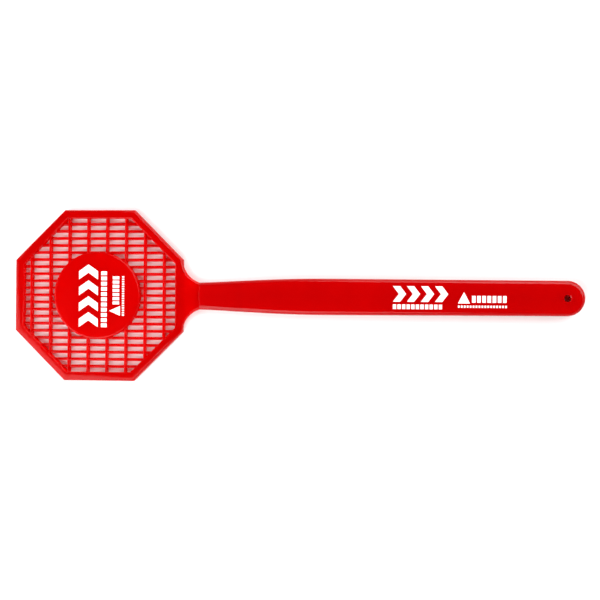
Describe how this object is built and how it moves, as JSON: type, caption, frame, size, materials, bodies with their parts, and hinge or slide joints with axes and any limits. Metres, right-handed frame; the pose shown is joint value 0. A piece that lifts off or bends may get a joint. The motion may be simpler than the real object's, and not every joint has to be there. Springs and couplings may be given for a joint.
{
  "type": "fly swatter",
  "caption": "Moulded plastic fly swatter: an octagonal grid paddle on a flexible neck, snapped into a hollow tapered handle with a hanging hole.",
  "frame": {"origin": "middle of the swatter's length and width, on the surface that it lies on, face up", "axes": "+X runs from the paddle to the round end of the handle, +Y across the paddle, +Z out of the printed face"},
  "size_m": [0.4, 0.121, 0.0105],
  "materials": {
    "paddle_plastic": "soft translucent red polyethylene, satin",
    "handle_plastic": "stiff red plastic that lets little light through, satin with a slight gloss on the rounded edges",
    "white_print": "flat white printing ink"
  },
  "bodies": {
    "handle": {"handle": "handle_plastic", "neck": "paddle_plastic", "handle_print": "white_print"},
    "paddle": {"paddle": "paddle_plastic", "paddle_print": "white_print"}
  },
  "joints": [
    {"name": "neck_flex", "type": "hinge", "parent": "handle", "child": "paddle", "pos_m": [-0.072, 0, 0.0051], "axis": [0, 1, 0], "range_deg": [-30, 30], "stiffness_Nm_per_rad": 1.2, "deforming": ["neck"]}
  ]
}
